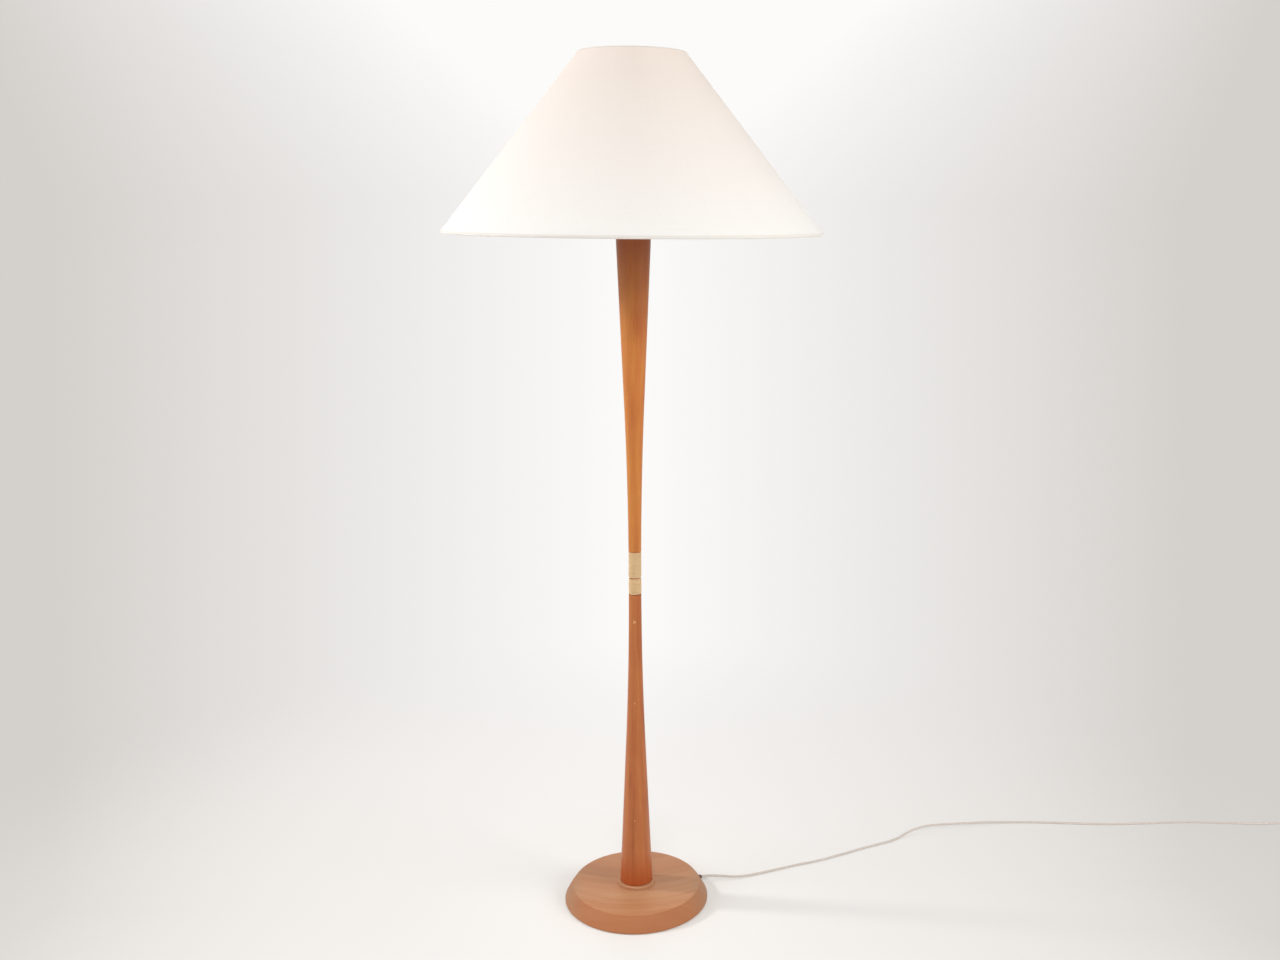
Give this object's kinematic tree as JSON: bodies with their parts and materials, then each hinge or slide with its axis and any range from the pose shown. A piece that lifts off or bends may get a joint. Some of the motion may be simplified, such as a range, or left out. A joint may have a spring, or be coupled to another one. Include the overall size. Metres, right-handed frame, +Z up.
{
  "type": "candlestick floor lamp",
  "caption": "Floor lamp: turned wooden column, thin at a bound waist, on a bevelled disc, under a wide white coolie shade on a harp over a keyed lampholder, with its mains lead and plug.",
  "frame": {"origin": "centre of the base's underside, on the floor", "axes": "+Z up along the column, +X to the right seen from the front, +Y to the back; the lead leaves towards +X and a little +Y"},
  "size_m": [1.8581, 0.708, 1.5721],
  "materials": {
    "column_wood": "clear satin lacquer",
    "base_wood": "clear satin lacquer",
    "strand": "fine wound natural strand",
    "brass": "satin",
    "steel": "zinc plated",
    "iron": "cast",
    "felt": "felt",
    "cloth": "white cloth",
    "lining": "white styrene lining",
    "white_wire": "white enamel",
    "porcelain": "glazed",
    "black_plastic": "moulded",
    "brown_plastic": "moulded",
    "white_plastic": "moulded",
    "cap_metal": "rolled",
    "bulb_glass": "frosted",
    "stem_glass": "clear"
  },
  "bodies": {
    "stand": {"base_disc": "base_wood", "base_felt": "felt", "base_weight": "iron", "base_weight_screws": "steel", "rod_washer": "steel", "rod_nut": "steel", "column_lower": "column_wood", "column_upper": "column_wood", "binding_lower": "strand", "binding_upper": "strand", "tube_lower": "steel", "tube_upper": "steel", "tube_coupler": "steel", "neck_washer": "brass", "neck_sleeve": "brass", "neck_nut": "brass", "harp_saddle": "brass", "harp": "brass", "harp_stud": "brass", "holder_cap": "black_plastic", "holder_shell": "black_plastic", "holder_insert": "porcelain", "holder_sleeve": "brass", "holder_screws": "brass", "holder_centre_contact": "brass", "holder_side_contact": "brass", "cord_bush": "brown_plastic", "lead_inside": "white_plastic", "lead_cores": "brown_plastic", "cord_clamp": "steel", "cord_clamp_screws": "steel", "cord": "white_plastic", "cord_coil": "white_plastic", "cord_tie": "white_plastic", "plug_body": "white_plastic", "plug_pins": "brass"},
    "shade": {"shade_cover": "cloth", "shade_liner": "lining", "shade_hem_top": "cloth", "shade_hem_bottom": "cloth", "shade_ring_top": "white_wire", "shade_ring_bottom": "white_wire", "shade_hub": "white_wire", "shade_arms": "white_wire"},
    "finial": {"finial": "brass"},
    "bulb": {"bulb_contact": "cap_metal", "bulb_insulator": "black_plastic", "bulb_cap": "cap_metal", "bulb_glass": "bulb_glass", "bulb_stem": "stem_glass", "bulb_filament": "steel"},
    "switch": {"switch_spindle": "brass", "switch_key": "black_plastic"}
  },
  "joints": [
    {"name": "shade_turn", "type": "hinge", "parent": "stand", "child": "shade", "pos_m": [0, 0, 1.5529], "axis": [0, 0, 1], "continuous": true},
    {"name": "finial_turn", "type": "hinge", "parent": "stand", "child": "finial", "pos_m": [0, 0, 1.5551], "axis": [0, 0, 1], "continuous": true},
    {"name": "bulb_turn", "type": "hinge", "parent": "stand", "child": "bulb", "pos_m": [0, 0, 1.335], "axis": [0, 0, 1], "continuous": true},
    {"name": "switch_turn", "type": "hinge", "parent": "stand", "child": "switch", "pos_m": [0, -0.02, 1.3085], "axis": [0, -1, 0], "continuous": true}
  ]
}
